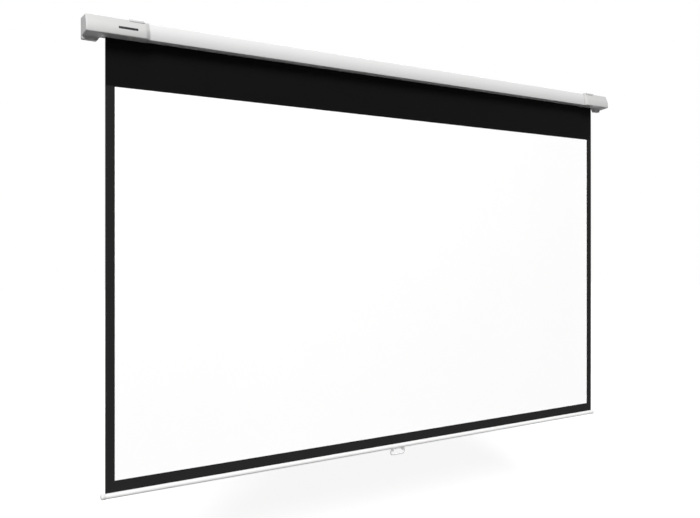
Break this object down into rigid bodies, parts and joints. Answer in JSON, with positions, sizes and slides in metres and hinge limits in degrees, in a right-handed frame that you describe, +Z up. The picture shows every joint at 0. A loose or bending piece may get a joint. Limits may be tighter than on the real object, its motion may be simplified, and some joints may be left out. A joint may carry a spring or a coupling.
{
  "type": "projection screen",
  "caption": "Wall-hung spring-roller projection screen: a slim case over a black-bordered white sheet, drawn down by the handle on its bottom bar.",
  "frame": {"origin": "middle of the case's flat back, on the wall plane", "axes": "+X along the case to the viewer's right, +Y into the wall, +Z up"},
  "size_m": [2.4025, 0.0697, 1.5351],
  "materials": {
    "painted_case": "satin white powder coat",
    "painted_hanger": "satin white powder coat on steel",
    "painted_bar": "satin white powder coat on aluminium",
    "cover_plastic": "fine-grained white moulding",
    "handle_plastic": "smooth white moulding",
    "dark_strip": "glossy dark strip, bare",
    "zinc": "zinc plated",
    "spring_steel": "oiled spring steel",
    "mill_aluminium": "mill finish",
    "black_plastic": "glass-filled nylon",
    "bush_plastic": "natural acetal",
    "screen_cloth": "matt white vinyl with black borders and a black back"
  },
  "bodies": {
    "case": {"case_shell": "painted_case", "left_end_cover": "cover_plastic", "right_end_cover": "cover_plastic", "label_strip": "dark_strip", "left_cover_screw": "zinc", "right_cover_screw": "zinc", "left_end_plate": "zinc", "right_end_plate": "zinc", "left_plate_screw_1": "zinc", "left_plate_screw_2": "zinc", "left_plate_screw_3": "zinc", "right_plate_screw_1": "zinc", "right_plate_screw_2": "zinc", "right_plate_screw_3": "zinc", "left_hanger": "painted_hanger", "right_hanger": "painted_hanger", "spring_rod": "zinc", "ratchet_wheel": "zinc", "spring_anchor": "black_plastic", "torsion_spring": "spring_steel", "rod_clip": "spring_steel", "idler_pin": "zinc", "screen_sheet": "screen_cloth"},
    "roller": {"roller_tube": "mill_aluminium", "sheet_wraps": "screen_cloth", "sheet_welt": "black_plastic", "lock_cup": "black_plastic", "upper_pawl_pin": "zinc", "lower_pawl_pin": "zinc", "spring_drive_plug": "black_plastic", "idler_plug": "black_plastic", "idler_bush": "bush_plastic"},
    "upper_pawl": {"upper_pawl": "zinc"},
    "lower_pawl": {"lower_pawl": "zinc"},
    "bar": {"bar_tube": "painted_bar", "hem_rod": "black_plastic", "left_bar_cap": "cover_plastic", "right_bar_cap": "cover_plastic", "handle_bracket": "handle_plastic", "bracket_screw_1": "zinc", "bracket_screw_2": "zinc"},
    "handle": {"pull_handle": "handle_plastic"}
  },
  "joints": [
    {"name": "screen_travel", "type": "slide", "parent": "case", "child": "bar", "axis": [0, 0, 1], "range_m": [0, 1.431], "deforming": ["screen_sheet"]},
    {"name": "roller_turn", "type": "hinge", "parent": "case", "child": "roller", "pos_m": [0, -0.03152, 0], "axis": [1, 0, 0], "range_deg": [0, 4141]},
    {"name": "handle_swing", "type": "hinge", "parent": "bar", "child": "handle", "pos_m": [0, -0.014, -1.48285], "axis": [1, 0, 0], "range_deg": [-85, 85]},
    {"name": "upper_pawl_drop", "type": "hinge", "parent": "roller", "child": "upper_pawl", "pos_m": [-1.14325, -0.02053, 0], "axis": [1, 0, 0], "range_deg": [0, 20]},
    {"name": "lower_pawl_drop", "type": "hinge", "parent": "roller", "child": "lower_pawl", "pos_m": [-1.14325, -0.04253, 0], "axis": [1, 0, 0], "range_deg": [0, 20]}
  ],
  "couplings": [
    {"joint": "roller_turn", "follows": "screen_travel", "rad_per_m": 50.494}
  ]
}
